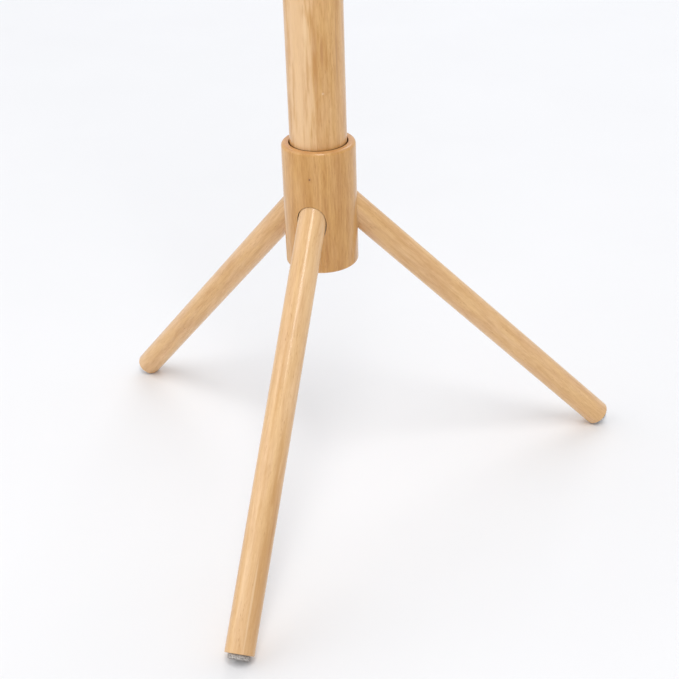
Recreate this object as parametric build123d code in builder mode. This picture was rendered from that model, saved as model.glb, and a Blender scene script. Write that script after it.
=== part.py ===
from build123d import *
from math import cos, radians, sin

# A knock-down wooden coat rack: a turned hub on three splayed legs carries a post in three
# sections, and eight pegs stand out of the top section. Every joint is a screwed one: a hanger
# bolt in the end of the dowel turns into a threaded insert in the piece that holds it.
# Millimetres and degrees, +Z up. The floor is z = 0, the front leg points to -Y, and the origin
# is the middle of the footprint, so the post stands a quarter of the foot radius behind it.

# driving dimensions: post
rack_height = 1750
post_diameter = 40
post_section_count = 3
post_top_round = 7
post_end_chamfer = 0.6

# driving dimensions: hub
hub_diameter = 52
hub_height = 90.5
hub_top_round = 2.5
hub_bottom_round = 2
post_socket_depth = 20
post_socket_clearance = 0.8
socket_edge_round = 0.5

# driving dimensions: legs
leg_diameter = 20
leg_slope = -46.5
leg_length_to_axis = 330.75
leg_crossing_below_hub_top = 27.3
leg_seat = 23
leg_bore_clearance = 0.6
leg_end_round = 0.8
seat_end_chamfer = 0.8
leg_headings = {"front": 270, "rear_right": 30, "rear_left": 150}

# driving dimensions: felt pads under the square-cut leg ends
pad_diameter = 14
pad_thickness = 3.2
pad_crush = 0.4

# driving dimensions: pegs
peg_diameter = 16
peg_slope = 45
peg_length_to_axis = 136
peg_seat = 18
peg_bore_clearance = 0.25
peg_end_round = 5
top_peg_below_post_top = 125
peg_level_spacing = 105
peg_levels = {
    "top": {"left": 180, "right": 0},
    "upper": {"front": 270, "back": 90},
    "lower": {"left": 180, "right": 0},
    "bottom": {"front": 270, "back": 90},
}

# hardware sizes: stud diameter, its grip in wood, insert diameter and length, hex key radius
leg_screw = {"stud": 6, "grip": 28, "insert": 9, "depth": 10, "hex": 3.9}
peg_screw = {"stud": 5, "grip": 24, "insert": 7.5, "depth": 9, "hex": 3.2}
post_screw = {"stud": 8, "grip": 36, "insert": 12, "depth": 14, "hex": 5.2}
hardware_clearance = 0.05
thread_clearance = 0.1
stud_short_of_insert_end = 1
stud_hole_past_point = 1
insert_hole_past_end = 0.5
insert_end_chamfer = 0.8
hex_recess_depth = 3

# a stud's pointed end and blunt tail, as parts of its diameter
point_length, point_depth, tail_chamfer = 0.7, 0.4, 0.1

edge_search_tolerance = 0.01

# derived places
leg_lean = radians(90 + leg_slope)
foot_radius = leg_length_to_axis * sin(leg_lean)
foot_height = pad_thickness * cos(leg_lean) + pad_diameter / 2 * sin(leg_lean) - pad_crush
leg_crossing = foot_height + leg_length_to_axis * cos(leg_lean)
hub_top = leg_crossing + leg_crossing_below_hub_top
post_foot = hub_top - post_socket_depth
post_section = (rack_height - post_foot) / post_section_count
post_joints = [post_foot + post_section * number for number in range(post_section_count)]
post_y = foot_radius / 4


def dowel_frame(height, heading, slope):
    """Plane on the post's axis whose Z runs out along a dowel; heading is measured from +X."""
    outward = Vector(cos(radians(heading)), sin(radians(heading)), 0)
    along = outward * cos(radians(slope)) + Vector(0, 0, 1) * sin(radians(slope))
    return Plane(
        origin=(0, post_y, height), x_dir=Vector(0, 0, 1).cross(outward), z_dir=along
    )


def post_frame(height):
    """Level plane on the post's axis."""
    return Plane(origin=(0, post_y, height))


def disc_along(frame, start, end, diameter, mode=Mode.ADD):
    """Round bar or bore along a frame's Z, from start to end."""
    with BuildSketch(frame.offset(start)) as disc:
        Circle(diameter / 2)
    extrude(disc.sketch, amount=end - start, mode=mode)


def rim_at(builder, frame, distance):
    """The outer round edge that lies at a distance along a frame's Z."""
    level = [
        edge
        for edge in builder.edges().filter_by(GeomType.CIRCLE)
        if abs(frame.to_local_coords(edge.arc_center).Z - distance) < edge_search_tolerance
    ]
    return ShapeList(level).sort_by(SortBy.RADIUS)[-1]


def stud_hole(frame, mouth, screw):
    """Pilot hole, along a frame's Z, for a stud's wood thread."""
    diameter = screw["stud"] + 2 * hardware_clearance
    end = mouth + screw["grip"] + stud_hole_past_point
    disc_along(frame, mouth, end, diameter, Mode.SUBTRACT)


def insert_hole(frame, mouth, screw):
    """Blind hole, against a frame's Z, for a threaded insert flush with its mouth."""
    diameter = screw["insert"] + 2 * hardware_clearance
    end = mouth - screw["depth"] - insert_hole_past_end
    disc_along(frame, end, mouth, diameter, Mode.SUBTRACT)


def save(builder, name):
    """Labels a finished piece and writes its file."""
    builder.part.label = name
    export_step(builder.part, f"parts/{name}.step")


def save_studs(frames, mouth, screw, name):
    """One node of hanger bolts: machine thread behind the mouth, pointed wood thread ahead."""
    with BuildPart() as studs:
        for frame in frames:
            tail = mouth - screw["depth"] + stud_short_of_insert_end
            point = mouth + screw["grip"]
            size = screw["stud"]
            disc_along(frame, tail, point, size)
            chamfer(rim_at(studs, frame, point), size * point_length, size * point_depth)
            chamfer(rim_at(studs, frame, tail), size * tail_chamfer)
    save(studs, name)


def save_inserts(frames, mouth, screw, name):
    """One node of threaded inserts, each with a hexagon recess at its mouth for the key."""
    with BuildPart() as inserts:
        for frame in frames:
            end = mouth - screw["depth"]
            disc_along(frame, end, mouth, screw["insert"])
            chamfer(rim_at(inserts, frame, end), insert_end_chamfer)
            bore = screw["stud"] + 2 * thread_clearance
            disc_along(frame, end, mouth, bore, Mode.SUBTRACT)
            with BuildSketch(frame.offset(mouth)) as hexagon:
                RegularPolygon(screw["hex"], 6)
            extrude(hexagon.sketch, amount=-hex_recess_depth, mode=Mode.SUBTRACT)
    save(inserts, name)


leg_frames = {
    side: dowel_frame(leg_crossing, heading, leg_slope)
    for side, heading in leg_headings.items()
}
peg_frames = {
    f"{level}_{side}": dowel_frame(
        rack_height - top_peg_below_post_top - number * peg_level_spacing, heading, peg_slope
    )
    for number, (level, sides) in enumerate(peg_levels.items())
    for side, heading in sides.items()
}

# base hub: turned block with the post's socket in its top and three angled leg bores
with BuildPart() as base_hub:
    hub_frame = post_frame(hub_top)
    disc_along(hub_frame, -hub_height, 0, hub_diameter)
    fillet(rim_at(base_hub, hub_frame, 0), hub_top_round)
    fillet(rim_at(base_hub, hub_frame, -hub_height), hub_bottom_round)
    socket_diameter = post_diameter + 2 * post_socket_clearance
    disc_along(hub_frame, -post_socket_depth, 0, socket_diameter, Mode.SUBTRACT)
    socket_mouth = base_hub.edges().filter_by(GeomType.CIRCLE).group_by(Axis.Z)[-1]
    fillet(socket_mouth.sort_by(SortBy.RADIUS)[0], socket_edge_round)
    insert_hole(hub_frame, -post_socket_depth, post_screw)
    for leg_frame in leg_frames.values():
        bore_diameter = leg_diameter + 2 * leg_bore_clearance
        disc_along(leg_frame, leg_seat, hub_diameter, bore_diameter, Mode.SUBTRACT)
        insert_hole(leg_frame, leg_seat, leg_screw)
save(base_hub, "base_hub")

# legs: straight dowels seated on the floors of their bores, outer ends cut square and rounded
for side, leg_frame in leg_frames.items():
    with BuildPart() as leg:
        disc_along(leg_frame, leg_seat, leg_length_to_axis, leg_diameter)
        fillet(rim_at(leg, leg_frame, leg_length_to_axis), leg_end_round)
        chamfer(rim_at(leg, leg_frame, leg_seat), seat_end_chamfer)
        stud_hole(leg_frame, leg_seat, leg_screw)
    save(leg, f"leg_{side}")

# foot pads: felt discs on the square leg ends, pressed flat where their lower edge meets the floor
for side, leg_frame in leg_frames.items():
    with BuildPart() as foot_pad:
        pad_end = leg_length_to_axis + pad_thickness
        disc_along(leg_frame, leg_length_to_axis, pad_end, pad_diameter)
        split(bisect_by=Plane.XY, keep=Keep.TOP)
    save(foot_pad, f"foot_pad_{side}")

# post: three equal sections end to end, each with a stud below and, but for the last, an insert above
for number, name in enumerate(("post_lower", "post_middle", "post_upper")):
    is_top = number == post_section_count - 1
    section_frame = post_frame(post_joints[number])
    with BuildPart() as section:
        disc_along(section_frame, 0, post_section, post_diameter)
        chamfer(rim_at(section, section_frame, 0), post_end_chamfer)
        if is_top:
            fillet(rim_at(section, section_frame, post_section), post_top_round)
            for peg_frame in peg_frames.values():
                bore_diameter = peg_diameter + 2 * peg_bore_clearance
                disc_along(peg_frame, peg_seat, post_diameter, bore_diameter, Mode.SUBTRACT)
                insert_hole(peg_frame, peg_seat, peg_screw)
        else:
            chamfer(rim_at(section, section_frame, post_section), post_end_chamfer)
            insert_hole(section_frame, post_section, post_screw)
        stud_hole(section_frame, 0, post_screw)
    save(section, name)

# pegs: round dowels that rise at 45 degrees, with well rounded outer ends
for place, peg_frame in peg_frames.items():
    with BuildPart() as peg:
        disc_along(peg_frame, peg_seat, peg_length_to_axis, peg_diameter)
        fillet(rim_at(peg, peg_frame, peg_length_to_axis), peg_end_round)
        chamfer(rim_at(peg, peg_frame, peg_seat), seat_end_chamfer)
        stud_hole(peg_frame, peg_seat, peg_screw)
    save(peg, f"peg_{place}")

# hardware inside the joints
post_joint_frames = [post_frame(height) for height in post_joints]
save_studs(leg_frames.values(), leg_seat, leg_screw, "leg_studs")
save_inserts(leg_frames.values(), leg_seat, leg_screw, "leg_inserts")
save_studs(peg_frames.values(), peg_seat, peg_screw, "peg_studs")
save_inserts(peg_frames.values(), peg_seat, peg_screw, "peg_inserts")
save_studs(post_joint_frames, 0, post_screw, "post_studs")
save_inserts(post_joint_frames, 0, post_screw, "post_inserts")
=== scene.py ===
import bmesh
import bpy
from math import ceil, cos, pi, radians, sin
from mathutils import Matrix, Vector


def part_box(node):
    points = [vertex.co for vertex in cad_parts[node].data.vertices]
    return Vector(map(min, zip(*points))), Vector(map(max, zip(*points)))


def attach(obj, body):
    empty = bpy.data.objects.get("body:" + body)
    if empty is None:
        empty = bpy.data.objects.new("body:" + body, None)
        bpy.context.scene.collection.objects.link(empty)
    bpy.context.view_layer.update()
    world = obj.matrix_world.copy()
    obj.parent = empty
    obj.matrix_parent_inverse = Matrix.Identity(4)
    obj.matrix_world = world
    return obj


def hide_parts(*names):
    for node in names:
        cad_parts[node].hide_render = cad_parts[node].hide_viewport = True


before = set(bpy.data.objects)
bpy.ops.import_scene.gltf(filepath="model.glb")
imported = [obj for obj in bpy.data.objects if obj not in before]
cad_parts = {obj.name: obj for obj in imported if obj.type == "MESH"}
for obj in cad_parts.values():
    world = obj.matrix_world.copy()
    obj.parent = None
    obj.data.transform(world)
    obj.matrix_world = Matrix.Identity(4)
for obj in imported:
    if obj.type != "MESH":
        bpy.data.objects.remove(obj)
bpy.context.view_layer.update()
mm = 0.001
weld = 1e-6  # points nearer than this are one point


class Value:  # one socket of a node tree, used in ordinary arithmetic
    def __init__(self, maker, socket):
        self.maker = maker
        self.socket = socket

    def math(self, operation, first, second=0.0):
        return self.maker.math(operation, first, second)

    def __add__(self, other):
        return self.math("ADD", self, other)

    def __radd__(self, other):
        return self.math("ADD", other, self)

    def __sub__(self, other):
        return self.math("SUBTRACT", self, other)

    def __rsub__(self, other):
        return self.math("SUBTRACT", other, self)

    def __mul__(self, other):
        return self.math("MULTIPLY", self, other)

    def __rmul__(self, other):
        return self.math("MULTIPLY", other, self)

    def __truediv__(self, other):
        return self.math("DIVIDE", self, other)

    def __rtruediv__(self, other):
        return self.math("DIVIDE", other, self)

    def __pow__(self, other):
        return self.math("POWER", self, other)

    def __mod__(self, other):
        return self.math("MODULO", self, other)

    def __gt__(self, other):
        return self.math("GREATER_THAN", self, other)

    def sin(self):
        return self.math("SINE", self)

    def cos(self):
        return self.math("COSINE", self)

    def floor(self):
        return self.math("FLOOR", self)

    def abs(self):
        return self.math("ABSOLUTE", self)


class Maker:  # adds nodes to one tree
    def __init__(self, tree):
        self.tree = tree

    def add(self, kind, settings=None, values=None, output=0):
        node = self.tree.nodes.new(kind)
        for name, setting in (settings or {}).items():
            setattr(node, name, setting)
        for name, value in (values or {}).items():
            if isinstance(value, Value):
                self.tree.links.new(value.socket, node.inputs[name])
            else:
                node.inputs[name].default_value = value
        return Value(self, node.outputs[output]) if node.outputs else node

    def math(self, operation, first, second=0.0):
        return self.add("ShaderNodeMath", {"operation": operation}, {0: first, 1: second})

    def parts(self, vector):  # x, y and z of a vector socket
        return [self.add("ShaderNodeSeparateXYZ", {}, {0: vector}, axis) for axis in "XYZ"]

    def vector(self, x, y, z):
        return self.add("ShaderNodeCombineXYZ", {}, {0: x, 1: y, 2: z})

    def spread(self, value, low, high):  # 0 below low, 1 above high, smooth between
        return self.add("ShaderNodeMapRange", {"interpolation_type": "SMOOTHSTEP"},
                        {"Value": value, "From Min": low, "From Max": high})

    def mix(self, factor, first, second, blend="MIX"):
        first, second = [c if isinstance(c, Value) else (*c, 1) for c in (first, second)]
        return self.add("ShaderNodeMix", {"data_type": "RGBA", "blend_type": blend},
                        {0: factor, 6: first, 7: second}, 2)


def newGeometryTree(name, inputs):
    tree = bpy.data.node_groups.new(name, "GeometryNodeTree")
    tree.interface.new_socket("Geometry", in_out="OUTPUT", socket_type="NodeSocketGeometry")
    for label, kind, value in inputs:
        socket = tree.interface.new_socket(label, in_out="INPUT", socket_type="NodeSocket" + kind)
        if value is not None:
            socket.default_value = value
    maker = Maker(tree)
    group = tree.nodes.new("NodeGroupInput")
    given = {s.name: Value(maker, s) for s in group.outputs if s.name}
    return maker, given


def endGeometryTree(maker, geometry, material):
    geometry = maker.add("GeometryNodeRealizeInstances", {}, {"Geometry": geometry})
    geometry = maker.add("GeometryNodeSetMaterial", {}, {"Geometry": geometry, "Material": material})
    end = maker.tree.nodes.new("NodeGroupOutput")
    maker.tree.links.new(geometry.socket, end.inputs["Geometry"])
    return maker.tree


def namedField(maker, name, kind="FLOAT"):
    return maker.add("GeometryNodeInputNamedAttribute", {"data_type": kind}, {"Name": name})


# hand-turned walls are a little uneven: noise around and along them, on radii over the smallest
wobble = {"around": 0.6, "along": 9.0, "detail": 1.0, "smallest": 4 * mm}
hexagonSides = 6
nudge = 0.0001  # keeps whole numbers whole when they are rounded down


def turningTree():  # spins an outline round Z, cuts screw threads and hexagons where the outline asks
    maker, given = newGeometryTree("turning", [
        ("Outline", "Geometry", None), ("Sides", "Int", 96), ("Uneven", "Float", 0.0),
        ("Seed", "Float", 0.0), ("Material", "Material", None)])
    add = maker.add
    count = add("GeometryNodeAttributeDomainSize", {"component": "MESH"},
                {"Geometry": given["Outline"]}, "Point Count")
    grid = add("GeometryNodeMeshGrid", {},
               {"Vertices X": given["Sides"] + 1, "Vertices Y": count}, "Mesh")
    index = add("GeometryNodeInputIndex")
    step = (index / count + nudge).floor()
    place = index - step * count

    def fromOutline(kind, field):
        return add("GeometryNodeSampleIndex", {"data_type": kind, "domain": "POINT"},
                   {"Geometry": given["Outline"], "Value": field, "Index": place})

    radius, _, height = maker.parts(fromOutline("FLOAT_VECTOR", add("GeometryNodeInputPosition")))
    bite, pitch, flats = (fromOutline("FLOAT", namedField(maker, name))
                          for name in ("bite", "pitch", "flats"))
    turn = step / given["Sides"]
    tooth = ((height / pitch - turn) % 1.0 + 1.0) % 1.0
    radius = radius - bite * (1.0 - (tooth * 2.0 - 1.0).abs())
    side = (turn % (1 / hexagonSides)) * (2 * pi) - pi / hexagonSides
    radius = radius * (1.0 + flats * (1.0 / side.cos() - 1.0))
    angle = turn * (2 * pi)
    x, y = angle.cos(), angle.sin()
    around = maker.vector(x * wobble["around"], y * wobble["around"], height * wobble["along"])
    noise = add("ShaderNodeTexNoise", {"noise_dimensions": "4D"},
                {"Vector": around, "W": given["Seed"], "Scale": 1.0, "Detail": wobble["detail"]})
    radius = radius + (noise - 0.5) * given["Uneven"] * (radius > wobble["smallest"])
    shape = add("GeometryNodeSetPosition", {},
                {"Geometry": grid, "Position": maker.vector(radius * x, radius * y, height)})
    shape = add("GeometryNodeMergeByDistance", {}, {"Geometry": shape, "Distance": weld})
    return endGeometryTree(maker, shape, given["Material"])


def seatingTree():  # puts a copy of one part at each seat, standing along the seat's direction
    maker, given = newGeometryTree("seating", [
        ("Seats", "Geometry", None), ("Part", "Object", None), ("Material", "Material", None)])
    add = maker.add
    part = add("GeometryNodeObjectInfo", {}, {"Object": given["Part"]}, "Geometry")
    along = namedField(maker, "along", "FLOAT_VECTOR")
    turned = add("FunctionNodeAlignRotationToVector", {"axis": "Z"}, {"Vector": along})
    points = add("GeometryNodeMeshToPoints", {}, {"Mesh": given["Seats"]})
    copies = add("GeometryNodeInstanceOnPoints", {},
                 {"Points": points, "Instance": part, "Rotation": turned})
    return endGeometryTree(maker, copies, given["Material"])


hair = {"lean": (1.35, 1.35, 3.1), "shortest": 0.35, "tip": 0.2, "sides": 3, "rings": 3,
        "aboveFloor": 0.05 * mm}  # angles in radians; shortest and tip are parts of the full size


def feltTree():  # presses a pad flat on the floor and covers it with short loose fibres
    maker, given = newGeometryTree("felt", [
        ("Pad", "Geometry", None), ("Fibres", "Float", 1.0), ("Length", "Float", 0.001),
        ("Thickness", "Float", 0.0001), ("Seed", "Int", 1), ("Material", "Material", None)])
    add = maker.add
    spots = add("GeometryNodeDistributePointsOnFaces", {},
                {"Mesh": given["Pad"], "Density": given["Fibres"], "Seed": given["Seed"]})
    outward = add("FunctionNodeAlignRotationToVector", {"axis": "Z"},
                  {"Vector": Value(maker, spots.socket.node.outputs["Normal"])})
    lean = add("FunctionNodeRandomValue", {"data_type": "FLOAT_VECTOR"},
               {0: tuple(-angle for angle in hair["lean"]), 1: hair["lean"], "Seed": given["Seed"]})
    turn = add("FunctionNodeRotateRotation", {"rotation_space": "LOCAL"},
               {"Rotation": outward, "Rotate By": add("FunctionNodeEulerToRotation", {}, {0: lean})})
    size = add("FunctionNodeRandomValue", {"data_type": "FLOAT"}, {2: hair["shortest"], 3: 1.0}, 1)
    fibre = add("GeometryNodeMeshCone", {"fill_type": "NONE"},
                {"Vertices": hair["sides"], "Side Segments": hair["rings"],
                 "Radius Top": given["Thickness"] * hair["tip"],
                 "Radius Bottom": given["Thickness"], "Depth": given["Length"]}, "Mesh")
    copies = add("GeometryNodeInstanceOnPoints", {},
                 {"Points": spots, "Instance": fibre, "Rotation": turn, "Scale": size})
    both = add("GeometryNodeJoinGeometry", {}, {"Geometry": copies})
    maker.tree.links.new(given["Pad"].socket, both.socket.node.inputs["Geometry"])
    loose = add("GeometryNodeRealizeInstances", {}, {"Geometry": both})
    x, y, z = maker.parts(add("GeometryNodeInputPosition"))
    pressed = maker.vector(x, y, maker.math("MAXIMUM", z, hair["aboveFloor"]))
    shape = add("GeometryNodeSetPosition", {}, {"Geometry": loose, "Position": pressed})
    return endGeometryTree(maker, shape, given["Material"])


def socketKey(tree, label):
    return next(i.identifier for i in tree.interface.items_tree
                if i.name == label and i.in_out == "INPUT")


def linked(name, data):
    thing = bpy.data.objects.new(name, data)
    bpy.context.scene.collection.objects.link(thing)
    return thing


def plainMesh(source):
    graph = bpy.context.evaluated_depsgraph_get()
    return bpy.data.meshes.new_from_object(source.evaluated_get(graph),
                                           preserve_all_data_layers=True, depsgraph=graph)


def runTree(mesh, tree, **inputs):  # the tree's result on a mesh, as a plain mesh
    holder = linked("holder", mesh)
    step = holder.modifiers.new("tree", "NODES")
    step.node_group = tree
    for label, value in inputs.items():
        step[socketKey(tree, label)] = value
    result = plainMesh(holder)
    bpy.data.objects.remove(holder)
    return result


def arc(centreRadius, centreHeight, size, start, end, steps=8):  # points on a round, in degrees
    turns = [radians(start + (end - start) * n / steps) for n in range(steps + 1)]
    return [(centreRadius + size * cos(t), centreHeight + size * sin(t)) for t in turns]


def wall(radius, low, high, spacing=12 * mm):  # points up a straight wall, without its ends
    steps = max(1, ceil((high - low) / spacing))
    return [(radius, low + (high - low) * n / steps) for n in range(1, steps)]


def lid(radius, height, parts=(0.8, 0.6, 0.4, 0.2, 0)):  # rings of a flat end, by part of its radius
    return [(radius * part, height) for part in parts]


def outlineMesh(points, threads=(), flats=()):
    # points are (radius, height); threads are (first, last, bite, pitch) and flats (first, last), by point
    mesh = bpy.data.meshes.new("outline")
    chain = [(n, n + 1) for n in range(len(points) - 1)]
    mesh.from_pydata([(r, 0, h) for r, h in points], chain, [])
    fields = {name: mesh.attributes.new(name, "FLOAT", "POINT") for name in ("bite", "pitch", "flats")}
    for n in range(len(points)):
        fields["pitch"].data[n].value = 1.0
        for first, last, bite, pitch in threads:
            if first <= n <= last:
                fields["bite"].data[n].value = bite
                fields["pitch"].data[n].value = pitch
        fields["flats"].data[n].value = float(any(first <= n <= last for first, last in flats))
    return mesh


def turned(points, sides, material, uneven=0.0, seed=0.0, threads=(), flats=()):
    return runTree(outlineMesh(points, threads, flats), turning, Sides=sides, Uneven=uneven,
                   Seed=seed, Material=material)


sharpCorner = radians(32)


def closeUp(mesh):  # outward faces, smooth rounds and sharp corners
    shape = bmesh.new()
    shape.from_mesh(mesh)
    bmesh.ops.remove_doubles(shape, verts=shape.verts, dist=weld)
    bmesh.ops.recalc_face_normals(shape, faces=shape.faces)
    shape.to_mesh(mesh)
    shape.free()
    mesh.shade_smooth()
    mesh.set_sharp_from_angle(angle=sharpCorner)


def carve(mesh, cutters):  # cuts solid shapes out of a mesh
    holder = linked("carved", mesh)
    tools = []
    for cutter in cutters:
        tool = linked("tool", cutter)
        step = holder.modifiers.new("cut", "BOOLEAN")
        step.operation, step.solver, step.object = "DIFFERENCE", "EXACT", tool
        tools.append(tool)
    result = plainMesh(holder)
    for used in [holder, *tools]:
        bpy.data.objects.remove(used)
    return result


def addPiece(name, node, mesh, slot, place=Matrix(), shift=(0, 0, 0), paleness=0.0):
    # every point keeps its position in the wood it was cut from, so grain runs along the piece
    inverse, along = place.inverted(), place.to_3x3() @ Vector((0, 0, 1))
    for label, values in {
        "grain": [inverse @ v.co + Vector(shift) for v in mesh.vertices],
        "along": [along] * len(mesh.vertices),
    }.items():
        field = mesh.attributes.get(label) or mesh.attributes.new(label, "FLOAT_VECTOR", "POINT")
        field.data.foreach_set("vector", [c for v in values for c in v])
    pale = mesh.attributes.get("paleness") or mesh.attributes.new("paleness", "FLOAT", "POINT")
    pale.data.foreach_set("value", [paleness] * len(mesh.vertices))
    mesh.name = name
    piece = linked(name, mesh)
    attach(piece, "root")
    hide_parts(node)


hubLow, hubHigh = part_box("base_hub")
postY = (hubLow.y + hubHigh.y) / 2
hubBottom, hubTop = hubLow.z, hubHigh.z
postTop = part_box("post_upper")[1].z


def sloped(height, heading, slope):  # a frame on the post's axis whose Z runs out along a dowel
    outward = Vector((cos(radians(heading)), sin(radians(heading)), 0))
    along = outward * cos(radians(slope)) + Vector((0, 0, sin(radians(slope))))
    across = Vector((0, 0, 1)).cross(outward)
    turn = Matrix((across, along.cross(across), along)).transposed()
    return Matrix.Translation((0, postY, height)) @ turn.to_4x4()


def level(height):
    return Matrix.Translation((0, postY, height))


def newMaterial(name):
    material = bpy.data.materials.new(name)
    material.use_nodes = True
    material.node_tree.nodes.clear()
    return material, Maker(material.node_tree)


def finishMaterial(maker, values):
    shader = maker.add("ShaderNodeBsdfPrincipled", {}, values)
    maker.add("ShaderNodeOutputMaterial", {}, {"Surface": shader})


# Woods: colours are linear, lengths millimetres, and pith is a direction and a distance. The first
# piece's axis lies at axis in the wood it is cut from, and each further piece one step on. Marks are
# knots and streaks round axis, with patches of painted light among them (a painted reflection on the
# post, painted shade on the front leg): heading and height of the middle, half width, half length,
# strength and colour.
woods = {
    "post": {
        "light": (0.83, 0.520, 0.245), "dark": (0.590, 0.300, 0.092), "end": (0.60, 0.33, 0.13),
        "pith": (-73.8, 50), "lean": 0.021, "rings": 7.0, "phase": 0.63, "banding": 0.20,
        "pores": 0.7, "axis": (0, 10, 0), "step": (20, 0, 300), "marks": {
            "flame": (285, 336, 2.2, 28, 0.95, (0.55, 0.26, 0.065)),
            "flameTail": (287, 315, 1.4, 26, 0.55, (0.56, 0.27, 0.07)),
            "secondFlame": (299, 341, 1.3, 13, 0.80, (0.53, 0.25, 0.08)),
            "rightStreak": (331, 340, 0.9, 28, 0.60, (0.52, 0.27, 0.10)),
            "paleStreak": (268, 348, 1.2, 26, 0.55, (0.92, 0.66, 0.36)),
            # on the post this pale side is a painted reflection of the left window on the lacquer, partly
            # the wood's pale figure
            "paleSide": (252, 330, 10.5, 160, 0.60, (0.90, 0.62, 0.36)),
            "paleSpeck": (298.6, 314, 0.9, 1.1, 0.35, (0.95, 0.80, 0.60))}},
    "hub": {
        "light": (0.770, 0.450, 0.170), "dark": (0.520, 0.245, 0.062), "end": (0.62, 0.33, 0.13),
        "pith": (16, 60), "lean": 0.010, "rings": 8.5, "phase": 0.2, "banding": 0.16,
        "pores": 0.6, "axis": (13, 4, 200), "step": (0, 0, 0), "marks": {
            "leftBand": (262, 235, 5.5, 90, 0.30, (0.50, 0.23, 0.055)),
            "rightBand": (318, 235, 3.5, 90, 0.28, (0.50, 0.23, 0.06)),
            "knotHalo": (270.2, 255, 1.6, 2.6, 0.40, (0.45, 0.18, 0.05)),
            "pinKnot": (270.2, 255, 0.75, 0.9, 0.90, (0.10, 0.04, 0.015)),
            "thinStreak": (283, 250, 0.8, 30, 0.30, (0.48, 0.21, 0.05))}},
    "leg": {
        "light": (0.850, 0.550, 0.285), "dark": (0.620, 0.335, 0.122), "end": (0.58, 0.32, 0.12),
        "pith": (60, 42), "lean": 0.030, "rings": 5.5, "phase": 0.1, "banding": 0.15,
        "pores": 0.8, "axis": (0, 30, 0), "step": (50, 0, 700), "marks": {
            # on the front leg this dark side is painted shade on its lower right, away from the light,
            # partly darker figure
            "darkSide": (22, 272, 8.0, 95, 0.65, (0.53, 0.265, 0.080)),
            "paleSide": (35, 100, 7.5, 80, 0.30, (0.90, 0.62, 0.34)),
            "paleBand": (100, 290, 2.4, 60, 0.25, (0.92, 0.66, 0.40)),
            "paleStreak": (62, 300, 0.8, 34, 0.40, (0.95, 0.70, 0.44)),
            "leftStreak": (150, 270, 3.0, 60, 0.40, (0.56, 0.29, 0.09)),
            "rightStreak": (45, 205, 1.6, 40, 0.50, (0.56, 0.29, 0.09)),
            "middleStreak": (95, 150, 1.2, 36, 0.40, (0.60, 0.32, 0.11)),
            "lowStreak": (20, 250, 1.2, 30, 0.60, (0.50, 0.24, 0.07))}},
    "peg": {
        "light": (0.850, 0.550, 0.280), "dark": (0.620, 0.335, 0.122), "end": (0.58, 0.32, 0.12),
        "pith": (60, 42), "lean": 0.030, "rings": 5.5, "phase": 0.4, "banding": 0.15,
        "pores": 0.8, "axis": (0, 0, 0), "step": (40, 20, 400), "marks": {}},
}

figure = {  # noise: cycles per millimetre across and along the grain, detail, roughness and seed
    "wander": (0.030, 0.010, 2.0, 0.5, 3.1), "ripple": (0.22, 0.016, 3.0, 0.55, 1.7),
    "broad": (0.085, 0.011, 2.0, 0.5, 6.4), "streak": (0.42, 0.040, 3.0, 0.6, 9.2),
    "fine": (1.2, 0.10, 2.0, 0.6, 17.0), "fibre": (4.2, 0.30, 2.0, 0.6, 12.5),
    "mottle": (0.16, 0.075, 2.0, 0.5, 40.0), "warm": (0.14, 0.022, 2.0, 0.5, 55.0),
    "pored": (0.5, 0.03, 1.0, 0.5, 30.0)}

bounds = {  # where each layer starts and ends as it is spread from 0 to 1
    "lateRise": (0.05, 0.80), "lateFall": (0.80, 1.0), "broad": (0.32, 0.70), "streak": (0.38, 0.66),
    "fine": (0.36, 0.66), "warm": (0.36, 0.64), "mottle": (0.30, 0.70), "fibre": (0.34, 0.70),
    "pored": (0.42, 0.62), "cells": (0.10, 0.24), "mark": (0.25, 1.15), "endOn": (0.55, 0.92)}

toning = {  # how far the pith wanders, in millimetres, and how much each layer colours the wood
    "wander": 7.0, "ripple": 0.9, "broad": 0.32, "streak": 0.34, "fine": 0.26,
    "warm": 0.8, "warmTint": (1.0, 0.99, 0.84), "mottle": 0.6, "mottleTint": (0.95, 0.91, 0.84),
    "pale": (0.90, 0.66, 0.42), "fibre": 0.35, "fibreTint": (0.82, 0.74, 0.62),
    "poreTint": (0.62, 0.47, 0.33), "poreAcross": 1.5, "poreAlong": 0.14, "poreShift": 3.0,
    "ragged": 0.5, "endCut": 0.7, "endRings": 0.30, "endTint": (0.80, 0.66, 0.52),
    # painted shade: a dark brown laid on wood in sockets and bores, where shade falls
    "recessShadeAmount": 0.85, "recessShadeTint": (0.22, 0.10, 0.035)}

lacquer = {"roughness": 0.36, "fibreRoughness": 0.10, "poreRoughness": 0.12, "endRoughness": 0.10,
           "fibreHeight": 0.35, "poreDepth": 0.9, "lateDepth": 0.25, "bump": 0.12,
           "bumpDistance": 0.12 * mm, "specular": 0.35, "coat": 0.6, "coatRoughness": 0.13,
           "coatIor": 1.5}


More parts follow.
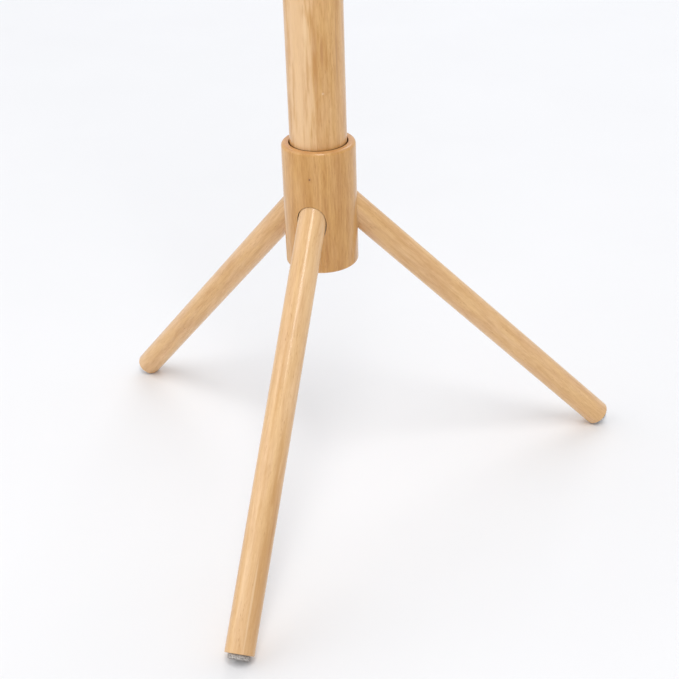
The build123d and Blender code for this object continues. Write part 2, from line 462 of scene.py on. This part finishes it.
def woodMaterial(name, look):
    material, maker = newMaterial(name)
    add, spread, mix = maker.add, maker.spread, maker.mix
    here = add("ShaderNodeAttribute", {"attribute_name": "grain"}, {}, "Vector")
    here = add("ShaderNodeVectorMath", {"operation": "SCALE"}, {0: here, "Scale": 1 / mm})
    x, y, z = maker.parts(here)

    def noise(layer):
        across, along, detail, rough, seed = figure[layer]
        return add("ShaderNodeTexNoise", {"noise_dimensions": "4D"},
                   {"Vector": maker.vector(x * across, y * across, z * along), "W": seed,
                    "Scale": 1.0, "Detail": detail, "Roughness": rough})

    # growth rings: distance from a pith that wanders and leans away from the piece's axis
    wander = (noise("wander") - 0.5) * toning["wander"]
    side, away = radians(look["pith"][0]), look["pith"][1] - z * look["lean"]
    ringX = x - away * cos(side) + wander
    ringY = y - away * sin(side) + wander * 0.5
    distance = (ringX * ringX + ringY * ringY) ** 0.5
    rings = distance / look["rings"] + (noise("ripple") - 0.5) * toning["ripple"] + look["phase"]
    wave = rings % 1.0
    late = spread(wave, *bounds["lateRise"]) - spread(wave, *bounds["lateFall"])

    # streaks, fibres and blotches of the figure
    broad = spread(noise("broad"), *bounds["broad"])
    streak = spread(noise("streak"), *bounds["streak"])
    fine = spread(noise("fine"), *bounds["fine"])
    fibre = noise("fibre")
    mottle = noise("mottle")
    warm = spread(noise("warm"), *bounds["warm"])
    darkness = (late * look["banding"] + broad * toning["broad"] + streak * toning["streak"]
                + fine * toning["fine"])
    colour = mix(darkness, look["light"], look["dark"])
    colour = mix(warm * toning["warm"], colour, toning["warmTint"], "MULTIPLY")
    colour = mix(spread(mottle, *bounds["mottle"]) * toning["mottle"], colour,
                 toning["mottleTint"], "MULTIPLY")
    pale = add("ShaderNodeAttribute", {"attribute_name": "paleness"}, {}, "Fac")
    colour = mix(pale, colour, toning["pale"])
    colour = mix(spread(fibre, *bounds["fibre"]) * toning["fibre"], colour, toning["fibreTint"],
                 "MULTIPLY")

    # pores: short dark dashes along the grain, in patches
    dashes = maker.vector(x * toning["poreAcross"] + toning["poreShift"], y * toning["poreAcross"],
                          z * toning["poreAlong"])
    cells = add("ShaderNodeTexVoronoi", {"feature": "F1", "voronoi_dimensions": "3D"},
                {"Vector": dashes, "Scale": 1.0, "Randomness": 1.0}, "Distance")
    some = spread(noise("pored"), *bounds["pored"])
    pore = (1.0 - spread(cells, *bounds["cells"])) * some
    colour = mix(pore * look["pores"], colour, toning["poreTint"], "MULTIPLY")

    across, back, height = (part - start for part, start in zip((x, y, z), look["axis"]))
    ragged = (streak - 0.5) * toning["ragged"]
    # marks: knots and streaks, and patches of painted reflection and painted shade
    for heading, centre, width, length, strength, tint in look["marks"].values():
        turn = radians(heading)
        aside = (back * cos(turn) - across * sin(turn)) / width
        above = (height - centre) / length
        reach = (aside * aside + above * above) ** 0.5 + ragged
        facing = across * cos(turn) + back * sin(turn) > 0.0
        there = (1.0 - spread(reach, *bounds["mark"])) * facing
        colour = mix(there * strength, colour, tint)

    # cut ends are darker, and wood inside joints and bores gets painted shade, darker still
    normal = add("ShaderNodeNewGeometry", {}, {}, "Normal")
    along = add("ShaderNodeAttribute", {"attribute_name": "along"}, {}, "Vector")
    endOn = add("ShaderNodeVectorMath", {"operation": "DOT_PRODUCT"}, {0: normal, 1: along}, "Value")
    endCut = spread(endOn.abs(), *bounds["endOn"])
    colour = mix(endCut * toning["endCut"], colour, look["end"])
    colour = mix(endCut * late * toning["endRings"], colour, toning["endTint"], "MULTIPLY")
    # painted shade in recesses: faces marked as lying in holes and sockets are mixed towards a dark brown
    inside = add("ShaderNodeAttribute", {"attribute_name": "inside"}, {}, "Fac")
    colour = mix(inside * toning["recessShadeAmount"], colour, toning["recessShadeTint"])

    rough = (lacquer["roughness"] + fibre * lacquer["fibreRoughness"]
             + pore * lacquer["poreRoughness"] + endCut * lacquer["endRoughness"])
    relief = (fibre * lacquer["fibreHeight"] - pore * lacquer["poreDepth"]
              - late * lacquer["lateDepth"])
    bump = add("ShaderNodeBump", {}, {"Height": relief, "Strength": lacquer["bump"],
                                      "Distance": lacquer["bumpDistance"]})
    finishMaterial(maker, {"Base Color": colour, "Roughness": rough, "Normal": bump,
                           "Specular IOR Level": lacquer["specular"],
                           "Coat Weight": lacquer["coat"],
                           "Coat Roughness": lacquer["coatRoughness"],
                           "Coat IOR": lacquer["coatIor"]})
    return material


feltLook = {"dark": (0.17, 0.155, 0.145), "light": (0.92, 0.88, 0.84), "clump": (0.62, 0.60, 0.58),
            "clumping": 0.5, "fineScale": 1500.0, "fineDetail": 3.0, "fineBounds": (0.32, 0.68),
            "clumpScale": 700.0, "clumpDetail": 2.0, "clumpBounds": (0.35, 0.65), "roughness": 0.95,
            "bump": 0.6, "bumpDistance": 0.4 * mm, "specular": 0.2, "sheen": 0.3}


def feltMaterial():
    material, maker = newMaterial("greyFelt")
    add, spread, mix = maker.add, maker.spread, maker.mix
    here = add("ShaderNodeTexCoord", {}, {}, "Object")
    fine = add("ShaderNodeTexNoise", {},
               {"Vector": here, "Scale": feltLook["fineScale"], "Detail": feltLook["fineDetail"]})
    clump = add("ShaderNodeTexNoise", {},
                {"Vector": here, "Scale": feltLook["clumpScale"], "Detail": feltLook["clumpDetail"]})
    colour = mix(spread(fine, *feltLook["fineBounds"]), feltLook["dark"], feltLook["light"])
    colour = mix(spread(clump, *feltLook["clumpBounds"]) * feltLook["clumping"], colour,
                 feltLook["clump"], "MULTIPLY")
    bump = add("ShaderNodeBump", {}, {"Height": fine, "Strength": feltLook["bump"],
                                      "Distance": feltLook["bumpDistance"]})
    finishMaterial(maker, {"Base Color": colour, "Roughness": feltLook["roughness"],
                           "Normal": bump, "Specular IOR Level": feltLook["specular"],
                           "Sheen Weight": feltLook["sheen"]})
    return material


metals = {
    "zincSteel": {"bright": (0.62, 0.62, 0.60), "dull": (0.45, 0.46, 0.47), "roughness": 0.22},
    "paleAlloy": {"bright": (0.72, 0.62, 0.40), "dull": (0.56, 0.47, 0.30), "roughness": 0.28}}
clouds = {"scale": 400.0, "detail": 4.0, "bounds": (0.35, 0.7), "roughness": 0.2}  # on the plating


def metalMaterial(name):
    look = metals[name]
    material, maker = newMaterial(name)
    here = maker.add("ShaderNodeTexCoord", {}, {}, "Object")
    cloud = maker.add("ShaderNodeTexNoise", {},
                      {"Vector": here, "Scale": clouds["scale"], "Detail": clouds["detail"]})
    colour = maker.mix(maker.spread(cloud, *clouds["bounds"]), look["bright"], look["dull"])
    finishMaterial(maker, {"Base Color": colour, "Metallic": 1.0,
                           "Roughness": cloud * clouds["roughness"] + look["roughness"]})
    return material


postWood = woodMaterial("honeyPostWood", woods["post"])
hubWood = woodMaterial("honeyHubWood", woods["hub"])
legWood = woodMaterial("honeyLegWood", woods["leg"])
pegWood = woodMaterial("honeyPegWood", woods["peg"])
felt = feltMaterial()
zinc = metalMaterial("zincSteel")
alloy = metalMaterial("paleAlloy")
print("materials ready")

turning = turningTree()
seating = seatingTree()
felting = feltTree()

screws = {  # millimetres, as designed; coarse and fine are the thread pitches in wood and in metal
    "leg": {"stud": 6, "grip": 28, "insert": 9, "depth": 10, "hex": 3.9, "coarse": 2.4, "fine": 1.0},
    "peg": {"stud": 5, "grip": 24, "insert": 7.5, "depth": 9, "hex": 3.2, "coarse": 2.0, "fine": 0.8},
    "post": {"stud": 8, "grip": 36, "insert": 12, "depth": 14, "hex": 5.2, "coarse": 3.0,
             "fine": 1.25},
}
joint = {"holeGap": 0.05 * mm, "threadGap": 0.1 * mm, "studShortOfEnd": 1 * mm,
         "hexDepth": 3 * mm, "holePastPoint": 1, "holePastInsert": 0.5}

post = {"radius": 20 * mm, "endRound": 0.6 * mm, "topRound": 7 * mm, "sides": 128,
        # the last size is how far under the hub's top the tenon's painted shade stops
        "uneven": 0.06 * mm, "seed": 20, "seedStep": 3.0, "recessShadeLine": 0.1 * mm}
hub = {"radius": 26 * mm, "topRound": 2.5 * mm, "bottomRound": 2 * mm, "socketGap": 0.8 * mm,
       "socketDepth": 20 * mm, "mouthRound": 0.5 * mm, "sides": 160, "uneven": 0.05 * mm,
       "seed": 2.0, "wallSpacing": 30 * mm}
leg = {"radius": 10 * mm, "slope": -46.5, "seat": 23 * mm, "length": 330.75 * mm,
       "boreGap": 0.6 * mm, "endRound": 0.8 * mm, "seatRound": 0.8 * mm, "boreReach": 80 * mm,
       "belowHubTop": 27.3 * mm, "sides": 96, "uneven": 0.07 * mm,
       "seed": 0, "seedStep": 3.0,
       "headings": {"front": 270, "rear_right": 30, "rear_left": 150},
       "paleness": {"front": 0.20, "rear_right": 0.10, "rear_left": 0.0}}
peg = {"radius": 8 * mm, "slope": 45, "seat": 18 * mm, "length": 136 * mm, "boreGap": 0.25 * mm,
       "endRound": 5 * mm, "seatRound": 0.8 * mm, "boreReach": 50 * mm,
       "belowPostTop": 125 * mm, "spacing": 105 * mm, "sides": 72, "uneven": 0.05 * mm,
       "seed": 40, "seedStep": 3.0,
       "levels": {"top": {"left": 180, "right": 0}, "upper": {"front": 270, "back": 90},
                  "lower": {"left": 180, "right": 0}, "bottom": {"front": 270, "back": 90}}}

legFrames = {side: sloped(hubTop - leg["belowHubTop"], heading, leg["slope"])
             for side, heading in leg["headings"].items()}
pegFrames = {f"{row}_{side}": sloped(postTop - peg["belowPostTop"] - n * peg["spacing"], heading,
                                     peg["slope"])
             for n, (row, sides) in enumerate(peg["levels"].items())
             for side, heading in sides.items()}


def studHole(screw, low):  # the blind hole for a stud's wood thread, from its bottom out to its mouth
    radius = screw["stud"] / 2 * mm + joint["holeGap"]
    bottom = low + (screw["grip"] + joint["holePastPoint"]) * mm
    return [(0, bottom), (radius * 0.5, bottom), (radius, bottom), (radius, low)]


def insertHole(screw, high):  # the blind hole for an insert, from its mouth down to its bottom
    radius = screw["insert"] / 2 * mm + joint["holeGap"]
    bottom = high - (screw["depth"] + joint["holePastInsert"]) * mm
    return [(radius, high), (radius, bottom), (radius * 0.5, bottom), (0, bottom)]


def dowelOutline(radius, low, high, lowRound, highRound, screw, topHole=False, ring=0.0):
    points = studHole(screw, low)
    points += arc(radius - lowRound, low + lowRound, lowRound, -90, 0, 5)
    points += [(radius, low + ring)] * (ring > 0)
    points += wall(radius, low + max(ring, lowRound), high - highRound)
    points += arc(radius - highRound, high - highRound, highRound, 0, 90, 9)
    return points + (insertHole(screw, high) if topHole else lid(radius - highRound, high))


def boreTools(part, screw, frames):  # the solids that cut the dowels' seats and their inserts' holes
    radius = part["radius"] + part["boreGap"]
    small = screw["insert"] / 2 * mm + joint["holeGap"]
    bottom = part["seat"] - (screw["depth"] + joint["holePastInsert"]) * mm
    tool = turned([(0, bottom), (small, bottom), (small, part["seat"]), (radius, part["seat"]),
                   (radius, part["boreReach"]), (0, part["boreReach"])], part["sides"], None)
    closeUp(tool)
    copies = []
    for place in frames:
        copy = tool.copy()
        copy.transform(place)
        copies.append(copy)
    return copies


def seedOf(part, number):
    return part["seed"] + number * part["seedStep"]


def cutFrom(kind, number=0):  # where a piece's axis lies in the wood it is cut from
    look = woods[kind]
    return [(start + step * number) * mm for start, step in zip(look["axis"], look["step"])]


bored = {"facing": 0.95, "tolerance": 0.02 * mm}  # facing is the cosine of the steepest tilt


def isInside(face, place, reach):  # true on the wall or the floor of a hole bored down a frame's Z
    inverse = place.inverted()
    centre, normal = inverse @ face.center, inverse.to_3x3() @ face.normal
    around = Vector((centre.x, centre.y, 0))
    facing = normal.dot(around.normalized()) < -bored["facing"] or normal.z > bored["facing"]
    return centre.z > 0 and around.length < reach + bored["tolerance"] and facing


def darken(mesh, holes):  # marks the faces inside bored holes for painted shade, a dark brown standing in for the shade there
    inside = mesh.attributes.new("inside", "FLOAT", "FACE")
    for face in mesh.polygons:
        inside.data[face.index].value = float(any(isInside(face, *hole) for hole in holes))


def makeHub():  # a turned block with the post's socket in its top and three bores for the legs
    radius, socket = hub["radius"], post["radius"] + hub["socketGap"]
    lowRound, topRound, mouth = hub["bottomRound"], hub["topRound"], hub["mouthRound"]
    outline = [(0, hubBottom), (radius * 0.5, hubBottom)]
    outline += arc(radius - lowRound, hubBottom + lowRound, lowRound, -90, 0)
    outline += wall(radius, hubBottom + lowRound, hubTop - topRound, hub["wallSpacing"])
    outline += arc(radius - topRound, hubTop - topRound, topRound, 0, 90)
    outline += arc(socket + mouth, hubTop - mouth, mouth, 90, 180, 4)
    outline += [(socket, hubTop - hub["socketDepth"])]
    outline += insertHole(screws["post"], hubTop - hub["socketDepth"])
    mesh = turned(outline, hub["sides"], hubWood, hub["uneven"], hub["seed"])
    mesh.transform(level(0))
    closeUp(mesh)
    mesh = carve(mesh, boreTools(leg, screws["leg"], legFrames.values()))
    closeUp(mesh)
    bore = leg["radius"] + leg["boreGap"]
    darken(mesh, [(level(hubBottom), socket)] + [(place, bore) for place in legFrames.values()])
    addPiece("hubBlock", "base_hub", mesh, "hub_wood", level(0), cutFrom("hub"))


def makeLegs():
    for number, (side, place) in enumerate(legFrames.items()):
        outline = dowelOutline(leg["radius"], leg["seat"], leg["length"], leg["seatRound"],
                               leg["endRound"], screws["leg"])
        mesh = turned(outline, leg["sides"], legWood, leg["uneven"], seedOf(leg, number))
        mesh.transform(place)
        closeUp(mesh)
        addPiece("leg." + side, "leg_" + side, mesh, "leg_wood", place,
                 cutFrom("leg", number), leg["paleness"][side])


def makePost():
    for number, name in enumerate(("lower", "middle", "upper")):
        low, high = (corner.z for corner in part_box("post_" + name))
        isTop = name == "upper"
        topRound = post["topRound"] if isTop else post["endRound"]
        # a ring of points just under the hub's top, where the tenon's painted shade stops
        ring = hub["socketDepth"] - post["recessShadeLine"] if name == "lower" else 0
        outline = dowelOutline(post["radius"], low, high, post["endRound"], topRound,
                               screws["post"], not isTop, ring)
        mesh = turned(outline, post["sides"], postWood, post["uneven"], seedOf(post, number))
        mesh.transform(level(0))
        closeUp(mesh)
        if name == "lower":  # the tenon in the hub gets painted shade, dark brown up to just under the hub's top
            inside = mesh.attributes.new("inside", "FLOAT", "FACE")
            inside.data.foreach_set("value", [float(f.center.z < hubTop) for f in mesh.polygons])
        if isTop:
            mesh = carve(mesh, boreTools(peg, screws["peg"], pegFrames.values()))
            closeUp(mesh)
            bore = peg["radius"] + peg["boreGap"]
            darken(mesh, [(place, bore) for place in pegFrames.values()])
        addPiece("post." + name, "post_" + name, mesh, "post_wood", level(0),
                 cutFrom("post", number))


def makePegs():
    for number, (spot, place) in enumerate(pegFrames.items()):
        outline = dowelOutline(peg["radius"], peg["seat"], peg["length"], peg["seatRound"],
                               peg["endRound"], screws["peg"])
        mesh = turned(outline, peg["sides"], pegWood, peg["uneven"], seedOf(peg, number))
        mesh.transform(place)
        closeUp(mesh)
        addPiece("peg." + spot, "peg_" + spot, mesh, "peg_wood", place,
                 cutFrom("peg", number))


makeHub()
print("hub turned and bored")
makeLegs()
print("legs turned")
makePost()
print("post sections turned")
makePegs()
print("pegs turned")

pad = {"radius": 7 * mm, "thickness": 3.2 * mm, "edgeRound": 0.6 * mm, "sides": 72,
       "uneven": 0.7 * mm, "seed": 70, "seedStep": 5.0, "wallSpacing": 0.5 * mm, "centre": (0, 0.4, 0.8),
       "fibreSeed": 4, "fibresPerSquareMetre": 2.4e6,
       "fibreLength": 1.9 * mm, "fibreThickness": 0.075 * mm}


def makePads():
    radius, edge = pad["radius"], pad["edgeRound"]
    low, high = leg["length"], leg["length"] + pad["thickness"]
    outline = lid(radius, low, pad["centre"])
    outline += arc(radius - edge, low + edge, edge, -90, 0, 3)
    outline += wall(radius, low + edge, high - edge, pad["wallSpacing"])
    outline += arc(radius - edge, high - edge, edge, 0, 90, 3)
    outline += lid(radius, high)
    for number, (side, place) in enumerate(legFrames.items()):
        mesh = turned(outline, pad["sides"], felt, pad["uneven"], seedOf(pad, number))
        mesh.transform(place)
        closeUp(mesh)
        mesh = runTree(mesh, felting, Fibres=pad["fibresPerSquareMetre"],
                       Length=pad["fibreLength"], Thickness=pad["fibreThickness"],
                       Seed=number + pad["fibreSeed"], Material=felt)
        mesh.shade_smooth()
        addPiece("pad." + side, "foot_pad_" + side, mesh, "felt", place)


makePads()
print("felt pads made")

threading = {"sides": 36, "insertSides": 48, "stepsPerTurn": 8, "coarseBite": 0.13, "fineBite": 0.5,
             "insertPitch": 2 * mm, "shank": 1.5 * mm, "tailChamfer": 0.1, "pointLength": 0.7,
             "pointDepth": 0.4, "endChamfer": 0.8 * mm}


def climb(radius, low, high, pitch):  # points along a threaded wall, up or down
    steps = ceil(abs(high - low) / pitch * threading["stepsPerTurn"])
    return [(radius, low + (high - low) * n / steps) for n in range(1, steps)]


def studMesh(screw):  # machine thread below the mouth, pointed wood thread above it
    size, fine, coarse = screw["stud"] * mm, screw["fine"] * mm, screw["coarse"] * mm
    radius, tip = size / 2, screw["grip"] * mm
    tail = joint["studShortOfEnd"] - screw["depth"] * mm
    cut = size * threading["tailChamfer"]
    shoulder = tip - size * threading["pointLength"]
    points = [(0, tail), (radius - cut, tail), (radius, tail + cut)]
    machine = len(points)
    points += climb(radius, tail + cut, 0, fine)
    machineEnd = len(points) - 1
    points += [(radius, 0), (radius, threading["shank"])]
    wood = len(points)
    points += climb(radius, threading["shank"], shoulder, coarse)
    woodEnd = len(points) - 1
    points += [(radius, shoulder), (radius - size * threading["pointDepth"], tip), (0, tip)]
    return turned(points, threading["sides"], zinc, threads=[
        (machine, machineEnd, fine * threading["fineBite"], fine),
        (wood, woodEnd, size * threading["coarseBite"], coarse)])


def insertMesh(screw):  # wood thread outside, machine thread inside, a hexagon for the key at the mouth
    radius, end, cut = screw["insert"] / 2 * mm, -screw["depth"] * mm, threading["endChamfer"]
    fine, coarse, key = screw["fine"] * mm, threading["insertPitch"], -joint["hexDepth"]
    bore = screw["stud"] / 2 * mm + joint["threadGap"]
    flat = screw["hex"] * cos(pi / hexagonSides) * mm
    points = [(bore, end), (radius - cut, end), (radius, end + cut)]
    outer = len(points)
    points += climb(radius, end + cut, -cut, coarse)
    outerEnd = len(points) - 1
    points += [(radius, -cut), (radius, 0)]
    hexagon = len(points)
    points += [(flat, 0), (flat, key), (bore, key)]
    inner = len(points)
    points += climb(bore, key, end, fine)
    innerEnd = len(points) - 1
    points += [(bore, end)]
    return turned(points, threading["insertSides"], alloy, flats=[(hexagon, hexagon + 1)], threads=[
        (outer, outerEnd, radius * threading["coarseBite"], coarse),
        (inner, innerEnd, fine * threading["fineBite"] - joint["threadGap"], fine)])


def seatMesh(frames, mouth):  # one point at each joint, with the direction of its screw
    mesh = bpy.data.meshes.new("seats")
    mesh.from_pydata([place @ Vector((0, 0, mouth)) for place in frames], [], [])
    field = mesh.attributes.new("along", "FLOAT_VECTOR", "POINT")
    directions = [place.to_3x3() @ Vector((0, 0, 1)) for place in frames]
    field.data.foreach_set("vector", [c for direction in directions for c in direction])
    return mesh


def addHardware(kind, frames, mouth):
    for part, mesh, material, slot in (
            ("studs", studMesh(screws[kind]), zinc, "stud_steel"),
            ("inserts", insertMesh(screws[kind]), alloy, "insert_alloy")):
        closeUp(mesh)
        single = linked("single", mesh)
        copies = runTree(seatMesh(frames, mouth), seating, Part=single, Material=material)
        bpy.data.objects.remove(single)
        closeUp(copies)
        addPiece(kind + "." + part, kind + "_" + part, copies, slot)


postJoints = [level(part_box("post_" + name)[0].z) for name in ("lower", "middle", "upper")]
addHardware("leg", list(legFrames.values()), leg["seat"])
addHardware("peg", list(pegFrames.values()), peg["seat"])
addHardware("post", postJoints, 0)
print("hardware threaded")

floor = {"radius": 9.0, "sides": 96, "colour": (0.840, 0.842, 0.857), "cloudShade": 0.965,
         "cloudScale": 6.0, "cloudDetail": 5.0, "roughness": 0.7, "specular": 0.3}
sky = {"colour": (0.98, 0.985, 1.0), "strength": 0.70}
lamps = {
    "overheadFront": {"place": (0.48, -1.02, 2.90), "aim": (0, 0, 0.2), "width": 0.80,
                      "height": 1.5, "watts": 30, "colour": (1, 0.99, 0.97)},
    "windowLeft": {"place": (-2.6, -0.9, 1.9), "aim": (0, 0, 0.4), "width": 3.4,
                   "height": 2.2, "watts": 25, "colour": (1, 0.995, 0.985)},
    "backWash": {"place": (0.0, 3.2, 2.8), "aim": (0, 2.2, 0), "width": 3.5,
                 "height": 1.5, "watts": 43, "colour": (0.93, 0.96, 1)},
}
eye = {"distance": 896.7 * mm, "height": 616.4 * mm, "azimuth": 16.19, "pitch": 29.19, "yaw": 0.66,
       "roll": -1.81, "lens": 72.71, "sensor": 36.0}  # from the post's axis; angles in degrees


def makeFloor():
    material, maker = newMaterial("paleFloor")
    here = maker.add("ShaderNodeTexCoord", {}, {}, "Object")
    cloud = maker.add("ShaderNodeTexNoise", {},
                      {"Vector": here, "Scale": floor["cloudScale"], "Detail": floor["cloudDetail"]})
    shaded = tuple(part * floor["cloudShade"] for part in floor["colour"])
    colour = maker.mix(cloud, floor["colour"], shaded)
    finishMaterial(maker, {"Base Color": colour, "Roughness": floor["roughness"],
                           "Specular IOR Level": floor["specular"]})
    turns = [n * 2 * pi / floor["sides"] for n in range(floor["sides"])]
    ring = [(floor["radius"] * cos(t), floor["radius"] * sin(t), 0) for t in turns]
    mesh = bpy.data.meshes.new("floor")
    mesh.from_pydata(ring, [], [tuple(range(floor["sides"]))])
    mesh.materials.append(material)
    ground = linked("floor", mesh)


def makeLamps():
    for name, look in lamps.items():
        light = bpy.data.lights.new(name, "AREA")
        light.shape, light.size, light.size_y = "RECTANGLE", look["width"], look["height"]
        light.energy, light.color = look["watts"], look["colour"]
        lamp = linked(name, light)
        lamp.location = look["place"]
        facing = Vector(look["aim"]) - Vector(look["place"])
        lamp.rotation_euler = facing.to_track_quat("-Z", "Y").to_euler()
    world = bpy.data.worlds.new("paleStudio")
    world.use_nodes = True
    world.node_tree.nodes.clear()
    maker = Maker(world.node_tree)
    glow = maker.add("ShaderNodeBackground", {},
                     {"Color": (*sky["colour"], 1), "Strength": sky["strength"]})
    maker.add("ShaderNodeOutputWorld", {}, {"Surface": glow})
    bpy.context.scene.world = world


def makeCamera():
    around = radians(eye["azimuth"])
    place = Vector((eye["distance"] * sin(around), postY - eye["distance"] * cos(around),
                    eye["height"]))
    heading, dip = around - radians(eye["yaw"]), radians(eye["pitch"])
    ahead = Vector((-sin(heading) * cos(dip), cos(heading) * cos(dip), -sin(dip)))
    right = ahead.cross(Vector((0, 0, 1))).normalized()
    up = right.cross(ahead)
    tilt = radians(eye["roll"])
    right, up = right * cos(tilt) + up * sin(tilt), up * cos(tilt) - right * sin(tilt)
    camera = bpy.data.cameras.new("camera")
    camera.lens, camera.sensor_width = eye["lens"], eye["sensor"]
    holder = linked("camera", camera)
    turn = Matrix((right, up, -ahead)).transposed()
    holder.matrix_world = Matrix.Translation(place) @ turn.to_4x4()
    bpy.context.scene.camera = holder


makeFloor()
makeLamps()
makeCamera()
bpy.context.scene.view_settings.view_transform = "Standard"
print("stage set")
